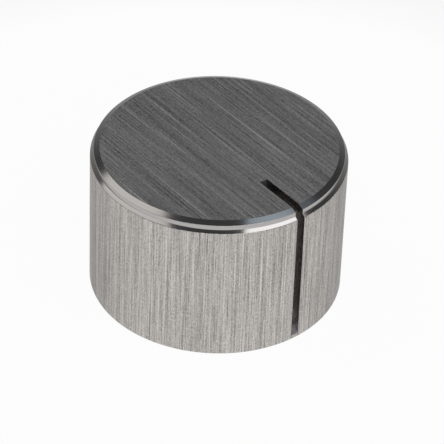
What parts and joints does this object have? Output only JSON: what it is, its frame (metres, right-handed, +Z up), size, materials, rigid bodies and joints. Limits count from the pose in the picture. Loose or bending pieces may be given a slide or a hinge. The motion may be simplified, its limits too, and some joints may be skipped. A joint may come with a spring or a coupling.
{
  "type": "potentiometer knob",
  "caption": "Solid turned metal control knob with a brushed face and side, a bevelled rim, a dark milled pointer slot and a rear grub screw for a round shaft.",
  "frame": {"origin": "centre of the base, on the shaft's axis", "axes": "+Z up along the shaft's axis, -Y towards the pointer slot, +Y towards the grub screw"},
  "size_m": [0.032, 0.032, 0.02],
  "materials": {
    "brushed_aluminium": "brushed and clear anodised, with polished bevels and a pointer slot left as milled",
    "blackened_steel": "black oxide"
  },
  "bodies": {
    "root": {"knob_body": "brushed_aluminium", "grub_screw": "blackened_steel"}
  },
  "joints": []
}
